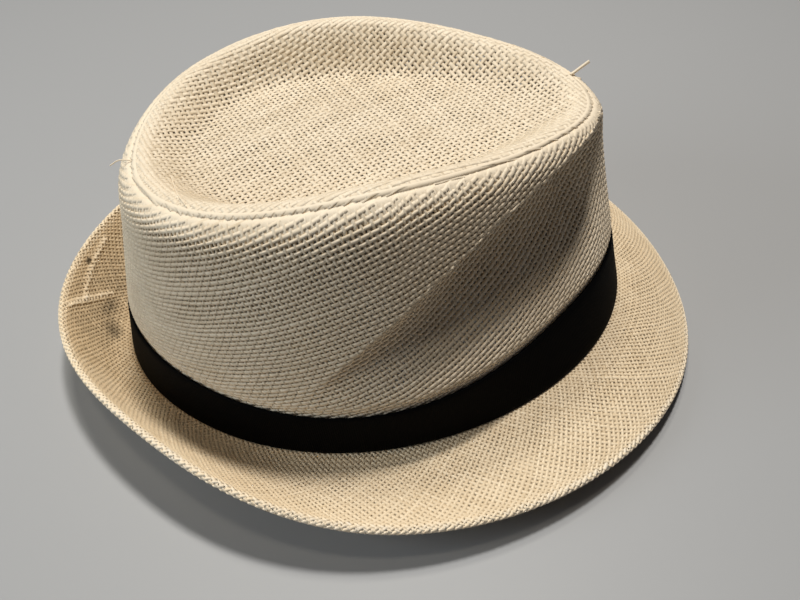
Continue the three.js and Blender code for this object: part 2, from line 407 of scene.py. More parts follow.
@dataclass(frozen=True)
class Yarn:
    """Yarns of the straw cloth and how uneven they are.

    Sizes and wave lengths are in millimetres. Tone is 0 for pale straw and 1 for deep straw.
    """

    rows: Strand = Strand(1.2, 0.92, 0.18)
    columns: Strand = Strand(1.12, 0.45, 0.36)
    pressed: Strand = Strand(1.8, 0.4, 0.05)
    width_spread: float = 0.07
    thickness_follow: float = 0.1
    slub: float = 0.07
    slub_waves: tuple[float, float] = (60.0, 5.0)
    drift: float = 0.16
    drift_waves: tuple[float, float] = (90.0, 14.0)
    jitter: float = 0.05
    jitter_limit: float = 0.2
    tone: float = 0.34
    tone_spread: float = 0.08
    tone_drift: float = 0.07
    tone_waves: tuple[float, float] = (45.0, 6.0)

    def strand(self, family: Family) -> Strand:
        """Yarn of one direction."""
        return self.rows if family is Family.WARP else self.columns

    @property
    def middle(self) -> float:
        """Depth of the cloth's middle below its outer face."""
        return max(strand.lift + strand.thickness / 2 for strand in (self.rows, self.columns))


SIDE_YARN = Yarn()
TIP_YARN = Yarn(
    rows=Strand(1.42, 0.5, 0.15), columns=Strand(1.5, 0.44, 0.22), pressed=Strand(1.94, 0.36, 0.03)
)
BRIM_YARN = Yarn(
    rows=Strand(1.34, 0.34, 0.15), columns=Strand(1.34, 0.34, 0.15), pressed=Strand(1.6, 0.32, 0.05)
)


@dataclass
class Lines:
    """Cloth lines cut to a panel: flat arrays with one entry for each point."""

    fixed: Array
    running: Array
    strand: Array


def cut_lines(fixed: Array, running: Array, room: Face) -> Lines:
    """Cuts straight cloth lines where they leave a panel.

    Args:
        fixed: Coordinate of each line.
        running: Sample coordinates along each line, one row for a line.
        room: Signed distance inside the panel, positive on it.

    Returns:
        The points of all strands, ends moved onto the panel's border.
    """
    inside = room(np.broadcast_to(fixed[:, None], running.shape), running)
    step = running[0, 1] - running[0, 0]
    out_fixed, out_running, out_strand = [], [], []
    strand = 0
    for line, samples, row in zip(fixed, running, inside):
        flags = np.concatenate([[False], row > 0, [False]])
        starts = np.flatnonzero(~flags[:-1] & flags[1:])
        ends = np.flatnonzero(flags[:-1] & ~flags[1:])
        for start, end in zip(starts, ends):
            places = samples[start:end].copy()
            if start > 0:
                share = row[start] / (row[start] - row[start - 1])
                places = np.concatenate([[places[0] - share * step], places])
            if end < len(samples):
                share = row[end - 1] / (row[end - 1] - row[end])
                places = np.concatenate([places, [places[-1] + share * step]])
            keep = np.concatenate([[True], np.diff(places) > SHORTEST_STEP * step])
            places = places[keep]
            if len(places) < FEWEST_POINTS:
                continue
            out_fixed.append(np.full(len(places), line, float))
            out_running.append(places)
            out_strand.append(np.full(len(places), strand))
            strand += 1
    return Lines(np.concatenate(out_fixed), np.concatenate(out_running), np.concatenate(out_strand))


@dataclass(frozen=True)
class StripGrid:
    """Cloth grid on a strip that closes round the hat.

    Its rows climb at a slant in degrees, and its columns stand square to them.
    """

    around: float
    slant: float
    rows_round: int
    columns_round: int

    @property
    def steps(self) -> tuple[float, float, float, float]:
        """Row and column pitch with the cosine and sine of the slant."""
        cos, sin = math.cos(math.radians(self.slant)), math.sin(math.radians(self.slant))
        return self.around * sin / self.rows_round, self.around * cos / self.columns_round, cos, sin

    def coordinates(self, family: Family) -> GridMap:
        """Function from a line's two coordinates to the place along and up the strip in millimetres."""
        row_pitch, column_pitch, cos, sin = self.steps

        def at(fixed: Array, running: Array) -> tuple[Array, Array]:
            """Place on the strip."""
            row, column = (fixed, running) if family is Family.WARP else (running, fixed)
            along = column * column_pitch * cos - row * row_pitch * sin
            return along, row * row_pitch * cos + column * column_pitch * sin

        return at

    def span(self, family: Family, low: float, high: float, step: float) -> tuple[Array, Array]:
        """Lines of one family and samples along them between two heights.

        Args:
            family: Which of the two directions the lines run in.
            low: Lower height in millimetres.
            high: Upper height in millimetres.
            step: Crossings between samples.

        Returns:
            The line numbers and one row of samples for each.
        """
        row_pitch, column_pitch, cos, sin = self.steps
        rise = (row_pitch * cos, column_pitch * sin)
        per_line, per_crossing = rise if family is Family.WARP else rise[::-1]
        lines = np.arange(self.rows_round if family is Family.WARP else self.columns_round)
        start = np.floor((low - lines * per_line) / per_crossing) - 1
        samples = np.arange(0, math.ceil((high - low) / per_crossing) + 3, step)
        return lines, start[:, None] + samples


@dataclass(frozen=True)
class PlanGrid:
    """Cloth grid laid flat, its rows turned from the X axis by an angle in degrees."""

    pitch: float
    turned: float

    def coordinates(self, family: Family) -> GridMap:
        """Function from a line's two coordinates to the place in millimetres."""
        cos, sin = math.cos(math.radians(self.turned)), math.sin(math.radians(self.turned))

        def at(fixed: Array, running: Array) -> tuple[Array, Array]:
            """Place in the cloth."""
            row, column = (fixed, running) if family is Family.WARP else (running, fixed)
            return (column * cos - row * sin) * self.pitch, (row * cos + column * sin) * self.pitch

        return at

    def span(self, reach: float) -> tuple[Array, Array]:
        """Line numbers and samples that cover a reach from the middle."""
        count = math.ceil(reach / self.pitch)
        lines = np.arange(-count, count + 1)
        return lines, np.tile(np.arange(-count, count + FINE_STEP / 2, FINE_STEP), (len(lines), 1))


@dataclass
class StrandPaths:
    """Centre lines of a set of strands with what their tubes need, in metres."""

    points: Array
    normals: Array
    half_width: Array
    half_thick: Array
    tint: Array
    strand: Array


def linked(name: str, data: bpy.types.ID) -> bpy.types.Object:
    """New object in the scene."""
    made = bpy.data.objects.new(name, data)
    bpy.context.scene.collection.objects.link(made)
    return made


def strand_mesh(name: str, paths: StrandPaths, sides: int) -> bpy.types.Object:
    """Closed tubes along strands, with a tint attribute and maps along and round each strand.

    Args:
        name: Name of the piece.
        paths: Centre lines, their normals and sizes.
        sides: Number of sides of a tube.

    Returns:
        The new object.
    """
    points, strand = paths.points, paths.strand
    total = len(points)
    same = strand[1:] == strand[:-1]
    first = np.concatenate([[True], ~same])
    last = np.concatenate([~same, [True]])
    before = np.where(first, np.arange(total), np.arange(total) - 1)
    after = np.where(last, np.arange(total), np.arange(total) + 1)
    tangent = unit(points[after] - points[before])
    normal = unit(paths.normals - tangent * (paths.normals * tangent).sum(-1, keepdims=True))
    across = np.cross(normal, tangent)
    half_step = 0.0 if sides % 2 else 0.5
    angle = FULL_TURN * (np.arange(sides) + half_step) / sides + math.pi / 2
    fill = 1.0 / math.sqrt(math.cos(math.pi / sides))
    wide = fill * np.cos(angle)[None, :, None] * across[:, None] * paths.half_width[:, None, None]
    high = fill * np.sin(angle)[None, :, None] * normal[:, None] * paths.half_thick[:, None, None]
    vertices = (points[:, None] + wide + high).reshape(-1, 3)

    side = np.arange(sides)
    start = np.flatnonzero(same)[:, None]
    here, beside = start * sides + side, start * sides + (side + 1) % sides
    quads = np.stack([here, beside, beside + sides, here + sides], -1).reshape(-1, 4)
    head = np.flatnonzero(first)[:, None] * sides + side[::-1]
    tail = np.flatnonzero(last)[:, None] * sides + side
    caps = np.concatenate([head, tail])
    corners = np.concatenate([quads.ravel(), caps.ravel()])
    sizes = np.concatenate([np.full(len(quads), 4), np.full(len(caps), sides)])
    starts = np.concatenate([[0], np.cumsum(sizes)[:-1]])

    mesh = bpy.data.meshes.new(name)
    mesh.vertices.add(len(vertices))
    mesh.vertices.foreach_set("co", vertices.astype(np.float32).ravel())
    mesh.loops.add(len(corners))
    mesh.loops.foreach_set("vertex_index", corners.astype(np.int32))
    mesh.polygons.add(len(sizes))
    mesh.polygons.foreach_set("loop_start", starts.astype(np.int32))
    mesh.polygons.foreach_set("loop_total", sizes.astype(np.int32))
    mesh.update(calc_edges=True)
    mesh.shade_smooth()

    tint = mesh.attributes.new("tint", "FLOAT", "POINT")
    tint.data.foreach_set("value", np.repeat(paths.tint, sides).astype(np.float32))
    step = np.linalg.norm(points - points[before], axis=1)
    run = np.cumsum(np.where(first, 0.0, step))
    along = run - np.repeat(run[first], np.diff(np.append(np.flatnonzero(first), total)))
    write_strand_maps(mesh, along, strand, quads, caps)
    return linked(name, mesh)


@dataclass(frozen=True)
class MapLayout:
    """Packed map of unrolled strands, in metres: a strip for each strand, its end faces beside it.

    Filled is the share of a strip's band that the strand takes up, and cap_half that of an end face.
    """

    band: float = 0.0048
    margin: float = 0.0016
    slack: float = 1.04
    filled: float = 0.9
    cap_half: float = 0.1
    cap_gap: float = 0.0006
    cap_length: float = 0.0003


def add_map(mesh: bpy.types.Mesh, name: str, u: Array, v: Array) -> bpy.types.MeshUVLoopLayer:
    """Writes one map of a mesh, with an entry for each face corner."""
    layer = mesh.uv_layers.new(name=name)
    layer.uv.foreach_set("vector", np.stack([u, v], -1).astype(np.float32).ravel())
    return layer


def write_strand_maps(mesh: bpy.types.Mesh, along: Array, strand: Array, quads: Array, caps: Array) -> None:
    """Writes the pattern map along and round the strands, and a packed map of their unrolled strips.

    Args:
        mesh: Mesh of tubes.
        along: Distance along its strand of each centre point, in metres.
        strand: Strand of each centre point.
        quads: Corner indices of the tubes' faces.
        caps: Corner indices of the tubes' end faces, the heads before the tails.
    """
    layout, sides = MapLayout(), caps.shape[1]
    owner_quad = quads // sides
    around = np.stack([quads[:, 0] % sides, quads[:, 0] % sides + 1], -1)[:, [0, 1, 1, 0]] / sides
    owner_cap = caps // sides
    cap_turn = FULL_TURN * (caps % sides) / sides
    u = np.concatenate([along[owner_quad].ravel(), along[owner_cap].ravel()])
    v = np.concatenate([around.ravel(), (0.5 + layout.cap_half * np.sin(cap_turn)).ravel()])
    pattern = add_map(mesh, STRAND_MAP, u, v)

    lengths = np.array([along[strand == index].max() for index in range(int(strand[-1]) + 1)])
    strips = lengths + 2 * layout.margin
    side = math.sqrt(strips.sum() * layout.band) * layout.slack
    start_u, start_v = np.zeros(len(lengths)), np.zeros(len(lengths))
    reach, row = 0.0, 0
    for index in np.argsort(-lengths):
        if reach + strips[index] > side and reach > 0:
            reach, row = 0.0, row + 1
        start_u[index], start_v[index] = reach + layout.margin, row * layout.band
        reach += strips[index]
    extent = max(side, (row + 1) * layout.band, strips.max())
    owner = np.concatenate([strand[owner_quad].ravel(), strand[owner_cap].ravel()])
    is_head = np.arange(len(caps)) < len(caps) // 2
    outside = layout.cap_gap + layout.cap_length * np.cos(cap_turn)
    outside = np.where(is_head, -1.0, 1.0)[:, None] * outside
    shift = np.concatenate([np.zeros(quads.size), outside.ravel()])
    packed_u = (start_u[owner] + u + shift) / extent
    packed_v = (start_v[owner] + layout.band * ((1 - layout.filled) / 2 + layout.filled * v)) / extent
    add_map(mesh, BAKE_MAP, packed_u, packed_v)
    mesh.uv_layers.active = pattern


def ring_mesh(name: str, loops: Array, around_scale: float) -> bpy.types.Object:
    """Ring swept round the hat from closed section loops, with a map round and across it.

    Args:
        name: Name of the piece.
        loops: Points in metres, shaped steps, loop points, 3.
        around_scale: Length in metres that the map gives to a full turn.

    Returns:
        The new object.
    """
    steps, size = loops.shape[:2]
    step, row = np.meshgrid(np.arange(steps), np.arange(size), indexing="ij")
    ahead, above = (step + 1) % steps, (row + 1) % size
    faces = np.stack([step * size + row, ahead * size + row, ahead * size + above, step * size + above], -1)
    mesh = bpy.data.meshes.new(name)
    mesh.from_pydata(loops.reshape(-1, 3).tolist(), [], faces.reshape(-1, 4).tolist())
    mesh.shade_smooth()
    gaps = np.linalg.norm(np.roll(loops, -1, 1) - loops, axis=-1).mean(0)
    height = np.concatenate([[0.0], np.cumsum(gaps)])
    u = np.stack([step, step + 1, step + 1, step], -1) / steps * around_scale
    v = np.stack([height[row], height[row], height[row + 1], height[row + 1]], -1)
    add_map(mesh, STRAND_MAP, u, v)
    return linked(name, mesh)


def declare(piece: bpy.types.Object, node: str | None = None) -> None:
    """Lets a finished piece ride on the hat's root, hides the node it stands for if one is given, and reports
    it.
    """
    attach(piece, "root")
    if node:
        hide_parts(node)
    LOG.info("%s: %d faces", piece.name, len(piece.data.polygons))


def dress(piece: bpy.types.Object, finish: bpy.types.Material, node: str | None = None) -> None:
    piece.data.materials.append(finish)
    declare(piece, node)


class NodeTree:
    """Short way to add and join the nodes of a shader or geometry tree."""

    def __init__(self, tree: bpy.types.NodeTree) -> None:
        """Keeps the tree that is being built."""
        self.tree = tree

    def fill(self, node: bpy.types.Node, inputs: dict[str | int, object]) -> None:
        """Gives a node's inputs values, or sockets to link, by name or number."""
        for key, value in inputs.items():
            if isinstance(value, bpy.types.NodeSocket):
                self.tree.links.new(value, node.inputs[key])
            else:
                node.inputs[key].default_value = value

    def add(
        self, kind: str, inputs: dict[str | int, object] | None = None, **settings: object
    ) -> bpy.types.Node:
        """Adds a node.

        Args:
            kind: Blender's node type.
            inputs: Socket values or sockets to link, by input name or number.
            **settings: Properties of the node.

        Returns:
            The new node.
        """
        node = self.tree.nodes.new(kind)
        for key, value in settings.items():
            setattr(node, key, value)
        self.fill(node, inputs or {})
        return node

    def math(
        self, operation: str, first: object, second: object = 0.0, third: object = 0.0
    ) -> bpy.types.NodeSocket:
        """Result of a Math node on values or sockets."""
        return self.add("ShaderNodeMath", {0: first, 1: second, 2: third}, operation=operation).outputs[0]

    def mix(self, factor: object, first: object, second: object, blend: str = "MIX") -> bpy.types.NodeSocket:
        """Colour result of a Mix node."""
        node = self.add("ShaderNodeMix", data_type="RGBA", blend_type=blend)
        self.fill(node, {0: factor, 6: first, 7: second})
        return node.outputs[2]

    def socket(self, name: str, kind: str, output: bool = False, default: object = None) -> None:
        """Adds a named socket to a node group's interface."""
        direction = "OUTPUT" if output else "INPUT"
        made = self.tree.interface.new_socket(name, in_out=direction, socket_type=kind)
        if default is not None:
            made.default_value = default

    def give_out(self, geometry: bpy.types.NodeSocket, finish: bpy.types.NodeSocket, name: str) -> None:
        """Ends a geometry tree: instances made real, given a finish and put out under a name."""
        real = self.add("GeometryNodeRealizeInstances", {0: geometry})
        dressed = self.add("GeometryNodeSetMaterial", {"Geometry": real.outputs[0], "Material": finish})
        self.add("NodeGroupOutput", {name: dressed.outputs[0]})


def yarn_group() -> bpy.types.NodeTree:
    """Shader group for spun paper yarn: a tone that varies from strand to strand, and the twist's height."""
    round_repeat, plies, ply_height = 3.0, 2.0, 0.3
    fibre_spread = (1.1, 2.6, 9.0)
    build = NodeTree(bpy.data.node_groups.new("yarn_tone", "ShaderNodeTree"))
    for name in ("Pale", "Deep", "Bleached And Highlight", "Soiled And Shade"):
        build.socket(name, "NodeSocketColor")
    build.socket("Streaks", "NodeSocketFloat", default=0.5)
    build.socket("Twist Length", "NodeSocketFloat", default=0.004)
    build.socket("Colour", "NodeSocketColor", output=True)
    build.socket("Height", "NodeSocketFloat", output=True)
    given = build.add("NodeGroupInput").outputs
    tint = build.add("ShaderNodeAttribute", attribute_name="tint").outputs["Fac"]
    place = build.add("ShaderNodeUVMap", uv_map=STRAND_MAP).outputs[0]
    split = build.add("ShaderNodeSeparateXYZ", {0: place}).outputs
    along = build.math("DIVIDE", split[0], given["Twist Length"])
    around = build.math("MULTIPLY", split[1], round_repeat)
    twisted = build.add("ShaderNodeCombineXYZ", {0: along, 1: around, 2: tint}).outputs[0]
    spread = build.add("ShaderNodeVectorMath", {0: twisted, 1: fibre_spread}, operation="MULTIPLY").outputs[0]
    fibre = build.add("ShaderNodeTexNoise", {"Vector": spread, "Scale": 1.0, "Detail": 3.0}).outputs[0]
    streak = build.math("MULTIPLY", build.math("SUBTRACT", fibre, 0.5), given["Streaks"])
    # The tint holds the strands' own tone, stains and wear, and also painted shade and painted highlights.
    colour = build.mix(build.math("ADD", tint, streak), given["Pale"], given["Deep"])
    # Below 0 the tint pales towards the bleached colour, which also gives painted highlights.
    colour = build.mix(build.math("MULTIPLY", tint, -1.0), colour, given["Bleached And Highlight"])
    # Above 1 the tint darkens towards the soiled colour, which also deepens painted shade.
    colour = build.mix(build.math("SUBTRACT", tint, 1.0), colour, given["Soiled And Shade"])
    turns = build.math("ADD", along, build.math("MULTIPLY", split[1], plies))
    ply = build.math("SINE", build.math("MULTIPLY", turns, FULL_TURN))
    height = build.math("ADD", build.math("MULTIPLY", ply, ply_height), fibre)
    build.add("NodeGroupOutput", {"Colour": colour, "Height": height})
    return build.tree


def handling_group() -> bpy.types.NodeTree:
    """Shader group for a handled hat: broad soft patches where the straw has gone yellow or grey."""
    patches = {"Scale": 28.0, "Detail": 4.0, "Roughness": 0.6}
    strongest, easing = 1.0, 0.1
    build = NodeTree(bpy.data.node_groups.new("handling_tone", "ShaderNodeTree"))
    build.socket("Colour", "NodeSocketColor")
    build.socket("Aged", "NodeSocketColor")
    build.socket("Amount", "NodeSocketFloat", default=0.3)
    build.socket("Colour", "NodeSocketColor", output=True)
    given = build.add("NodeGroupInput").outputs
    place = build.add("ShaderNodeTexCoord").outputs["Object"]
    patch = build.add("ShaderNodeTexNoise", {"Vector": place, **patches}).outputs[0]
    shaped = build.math("SMOOTH_MIN", build.math("MULTIPLY", patch, patch), strongest, easing)
    factor = build.math("MULTIPLY", shaped, given["Amount"])
    build.add("NodeGroupOutput", {"Colour": build.mix(factor, given["Colour"], given["Aged"], "MULTIPLY")})
    return build.tree


def blank_material(name: str) -> tuple[bpy.types.Material, NodeTree, bpy.types.Node]:
    """New material with its node tree and its surface shader."""
    made = bpy.data.materials.new(name)
    made.use_nodes = True
    return made, NodeTree(made.node_tree), made.node_tree.nodes["Principled BSDF"]


@dataclass(frozen=True)
class StrawFinish:
    """Finish of spun paper straw: colours are linear, sizes in metres."""

    name: str
    pale: Colour = (0.86, 0.74, 0.57, 1.0)
    deep: Colour = (0.62, 0.50, 0.34, 1.0)
    # Paler colour for bleached straw, which also gives the painted highlight along the brim's creases.
    bleached_and_highlight: Colour = (0.86, 0.80, 0.70, 1.0)
    # Darker colour for soiled straw, which also deepens the painted shade over the back of the brim.
    soiled_and_shade: Colour = (0.10, 0.07, 0.035, 1.0)
    aged: Colour = (0.80, 0.68, 0.50, 1.0)
    ageing: float = 0.4
    streaks: float = 0.9
    roughness: float = 0.62
    specular: float = 0.35
    bump: float = 0.6
    relief: float = 0.00012

    def material(self, groups: dict[str, bpy.types.NodeTree]) -> bpy.types.Material:
        """Makes the material.

        Args:
            groups: The shared shader groups by name.

        Returns:
            The new material.
        """
        made, build, shader = blank_material(self.name)
        spun = {"Pale": self.pale, "Deep": self.deep, "Bleached And Highlight": self.bleached_and_highlight, "Soiled And Shade": self.soiled_and_shade}
        spun["Streaks"] = self.streaks
        yarn = build.add("ShaderNodeGroup", spun, node_tree=groups["yarn"]).outputs
        worn = build.add(
            "ShaderNodeGroup",
            {"Colour": yarn["Colour"], "Aged": self.aged, "Amount": self.ageing},
            node_tree=groups["handling"],
        )
        bump = build.add(
            "ShaderNodeBump", {"Strength": self.bump, "Distance": self.relief, "Height": yarn["Height"]}
        )
        build.fill(shader, {"Base Color": worn.outputs["Colour"], "Normal": bump.outputs[0]})
        build.fill(shader, {"Roughness": self.roughness, "Specular IOR Level": self.specular})
        return made


@dataclass(frozen=True)
class RibbonFinish:
    """Finish of a black ribbon with fine upright ribs: colours are linear, sizes in metres."""

    name: str = "ribbon_black"
    colour: Colour = (0.0005, 0.0005, 0.0006, 1.0)
    lit: Colour = (0.0016, 0.0016, 0.0018, 1.0)
    rib: float = 0.00075
    rib_height: float = 0.5
    rib_tone: float = 0.3
    grain_scale: float = 900.0
    roughness: float = 0.72
    roughness_spread: float = 0.2
    specular: float = 0.04
    bump: float = 0.5
    relief: float = 0.00015

    def material(self) -> bpy.types.Material:
        """Makes the material."""
        made, build, shader = blank_material(self.name)
        place = build.add("ShaderNodeUVMap", uv_map=STRAND_MAP).outputs[0]
        split = build.add("ShaderNodeSeparateXYZ", {0: place}).outputs
        ribs = build.math("SINE", build.math("MULTIPLY", split[0], FULL_TURN / self.rib))
        noise = {"Vector": place, "Scale": self.grain_scale, "Detail": 3.0}
        grain = build.add("ShaderNodeTexNoise", noise).outputs[0]
        height = build.math("ADD", build.math("MULTIPLY", ribs, self.rib_height), grain)
        tone = build.math("MULTIPLY_ADD", ribs, self.rib_tone, grain)
        smoothest = self.roughness - self.roughness_spread / 2
        rough = build.math("MULTIPLY_ADD", grain, self.roughness_spread, smoothest)
        bump = build.add("ShaderNodeBump", {"Strength": self.bump, "Distance": self.relief, "Height": height})
        build.fill(shader, {"Base Color": build.mix(tone, self.colour, self.lit), "Roughness": rough})
        build.fill(shader, {"Normal": bump.outputs[0], "Specular IOR Level": self.specular})
        return made


@dataclass
class Patch:
    """Places on a panel: points, normals, height off the form, how flat the cloth is pressed, and its wear
    and painted light.

    This is below 0 where the straw is paler and above 0 where it is darker: real stains and wear, and also
    painted shade and painted highlights.
    """

    points: Array
    normals: Array
    height: Array
    press: Array
    wear_and_painted_light: Array


@dataclass
class Cloth:
    """Straw cloth in plain weave: lays strands over a panel of the hat."""

    form: HatForm
    yarn: Yarn
    pitch: float
    seed: int
    around: float | None = None

    def paths(
        self, lines: Lines, family: Family, coordinates: GridMap, surface: Callable[[Array, Array], Patch]
    ) -> StrandPaths:
        """Centre lines of one family of strands.

        Args:
            lines: Cloth lines cut to the panel.
            family: Which of the two directions the lines run in.
            coordinates: Cloth place in millimetres from a line's two coordinates.
            surface: Patch of the panel at a cloth place.

        Returns:
            The strands, in metres.
        """
        yarn, strand = self.yarn, self.yarn.strand(family)
        rng = np.random.default_rng(self.seed + family.value)
        line = (lines.fixed - lines.fixed.min()).astype(int)
        count = line.max() + 1
        drift_x = Wander(self.seed, *yarn.drift_waves, self.around)
        drift_y = Wander(self.seed + 1, *yarn.drift_waves, self.around)
        slub = Wander(self.seed + 2 + family.value, *yarn.slub_waves)
        tone = Wander(self.seed + 5 + family.value, *yarn.tone_waves)
        jitter = np.clip(rng.normal(0, yarn.jitter, count), -yarn.jitter_limit, yarn.jitter_limit)[line]
        x, y = coordinates(lines.fixed + jitter / self.pitch, lines.running)
        patch = surface(x + yarn.drift * drift_x(x, y), y + yarn.drift * drift_y(x, y))
        width, thickness, lift = strand.toward(yarn.pressed, patch.press)
        wave = family.value * np.cos(np.pi * (lines.fixed + lines.running))
        depth = lift * wave - yarn.middle + patch.height
        own, run = line * STRAND_STRIDE, lines.running * self.pitch
        spread = np.exp(rng.normal(0, yarn.width_spread, count))[line]
        width = width * spread * (1 + yarn.slub * slub(run, own))
        shade = rng.normal(yarn.tone, yarn.tone_spread, count)[line]
        # The panel's wear brings in real stains and wear, and also painted shade and painted highlights.
        shade = shade + yarn.tone_drift * tone(run, own) + patch.wear_and_painted_light
        follow = yarn.thickness_follow
        half_thick = thickness / 2 * MM * (1 - follow + follow * spread)
        centres = self.form.place(patch.points + patch.normals * depth[..., None])
        centres[:, 2] = np.maximum(centres[:, 2], FLOOR_ROOM * half_thick)
        normals = self.form.tipped(patch.normals)
        return StrandPaths(centres, normals, width / 2 * MM, half_thick, np.clip(shade, -1, 2), lines.strand)


class Girth:
    """Distances round the hat along one closed line of a face, in millimetres."""

    def __init__(self, turns: Array, line: Array) -> None:
        """Measures the line.

        Args:
            turns: Angles round the hat, from 0 to a full turn.
            line: Points of the line at these angles.
        """
        steps = np.linalg.norm(np.diff(line, axis=0), axis=-1)
        self.turns = turns
        self.arc = np.concatenate([[0.0], np.cumsum(steps)])
        self.whole = float(self.arc[-1])

    def turn_at(self, place: Array) -> Array:
        """Angle round the hat at a distance along the line."""
        return np.interp(place % self.whole, self.arc, self.turns)

    def place_at(self, degrees: float) -> float:
        """Distance along the line at an angle round the hat."""
        return float(np.interp(math.radians(degrees), self.turns, self.arc))


def seam_dip(distance: Array) -> Array:
    """How far the cloth is pulled in along the seam's groove, at a distance from the seam."""
    return -GROOVE_DEPTH * (1 - smooth(0, GROOVE_HALF, distance))


@dataclass(frozen=True)
class Mark:
    """Darker patch on a panel, used for stains and for painted shade: degrees round the hat, millimetres from
    its seam or fold, half sizes and strength.
    """

    turn: float
    distance: float
    half_length: float
    half_width: float
    strength: float


@dataclass(frozen=True)
class Crease:
    """Ridge in the brim between two places, each in degrees round the hat and millimetres from the fold."""

    start: tuple[float, float]
    end: tuple[float, float]
    height: float
    half_width: float


def stains_and_painted_shade(marks: tuple[Mark, ...], girth: Girth, place: Array, distance: Array) -> Array:
    """Darkening that a table of marks leaves on a panel: stains, and painted shade.

    Args:
        marks: The marks.
        girth: Distances round the panel.
        place: Distance round the panel.
        distance: Distance from its seam or fold.

    Returns:
        The darkening at each place.
    """
    wear_and_painted_light = np.zeros_like(place)
    for mark in marks:
        along = (place % girth.whole - girth.place_at(mark.turn)) / mark.half_length
        across = (distance - mark.distance) / mark.half_width
        wear_and_painted_light = wear_and_painted_light + mark.strength * np.exp(-(along**2) - across**2)
    return wear_and_painted_light


@dataclass
class CrownSide:
    """Side of the crown: a strip of cloth cut a little on the slant, from the brim to the seam."""

    form: HatForm
    yarn: Yarn
    slant: float = 23.0
    rows_round: int = 97
    columns_round: int = 263
    overlap: float = 3.0
    seam_gap: float = 0.25
    pressed: tuple[float, float] = (3.6, 7.0)
    cloth_fullness: float = 1.15
    easing: float = 0.13
    marks: tuple[Mark, ...] = (Mark(237, 1.6, 9.0, 1.6, 0.6),)
    height_steps: int = 40
    seed: int = 100

    def __post_init__(self) -> None:
        """Measures the panel round the hat and up its side."""
        turns = np.linspace(0, FULL_TURN, TABLE_STEPS + 1)
        turn, height = np.meshgrid(turns, np.linspace(0, 1, self.height_steps + 1), indexing="ij")
        wall = self.form.side(turn, height)
        self.run = np.linalg.norm(np.diff(wall, axis=1), axis=-1).sum(1)
        self.girth = Girth(turns, wall[:, self.height_steps // 2])
        self.grid = StripGrid(self.girth.whole, self.slant, self.rows_round, self.columns_round)
        self.cloth = Cloth(self.form, self.yarn, self.grid.steps[0], self.seed, self.girth.whole)

    def run_at(self, turn: Array) -> Array:
        """Length of the side from ribbon to seam."""
        return np.interp(turn % FULL_TURN, self.girth.turns, self.run)

    def surface(self, place: Array, rise: Array) -> Patch:
        """Patch of the side at a distance round and a length of cloth above the ribbon's edge."""
        turn = self.girth.turn_at(place)
        run = self.run_at(turn)
        share = np.clip(rise / (run * self.cloth_fullness), 0, 1)
        height = share * (1 - self.easing + self.easing * share)
        height = np.where(rise > 0, height, np.maximum(rise / self.form.ribbon_height, -1))
        normal = self.form.normal(self.form.side, turn, np.clip(height, -1 + NUDGE, 1 - NUDGE))
        clear = (1 - height) * run
        press = 1 - smooth(*self.pressed, clear)
        wear_and_painted_light = stains_and_painted_shade(self.marks, self.girth, place, clear) - PRESS_BLEACH * press
        return Patch(self.form.side(turn, height), normal, seam_dip(clear), press, wear_and_painted_light)

    def strands(self, family: Family, low: float, high: float | None, step: float) -> StrandPaths:
        """Strands of one family.

        Args:
            family: Which of the two directions they run in.
            low: Length of cloth above the ribbon's edge where they start.
            high: Length of cloth where they end, or None for the seam.
            step: Crossings between samples.

        Returns:
            The strands.
        """
        at = self.grid.coordinates(family)

        def room(fixed: Array, running: Array) -> Array:
            """Distance inside the panel."""
            place, rise = at(fixed, running)
            seam = self.run_at(self.girth.turn_at(place)) * self.cloth_fullness - self.seam_gap
            return np.minimum(rise - low, (seam if high is None else high) - rise)

        top = self.run.max() * self.cloth_fullness if high is None else high
        lines = cut_lines(*self.grid.span(family, low, top, step), room)
        return self.cloth.paths(lines, family, at, self.surface)

    def build(self, finish: bpy.types.Material) -> None:
        """Makes the woven side above the ribbon and its foot behind the ribbon."""
        foot = -self.form.ribbon_height
        for family, sides in ((Family.WARP, FULL_SIDES), (Family.WEFT, FEW_SIDES)):
            shown = self.strands(family, -self.overlap, None, FINE_STEP)
            hidden = self.strands(family, foot, -self.overlap, COARSE_STEP)
            dress(strand_mesh(f"crown_side_{family.word}", shown, sides), finish, "crown_side")
            dress(strand_mesh(f"crown_foot_{family.word}", hidden, FEW_SIDES), finish, "crown_side")


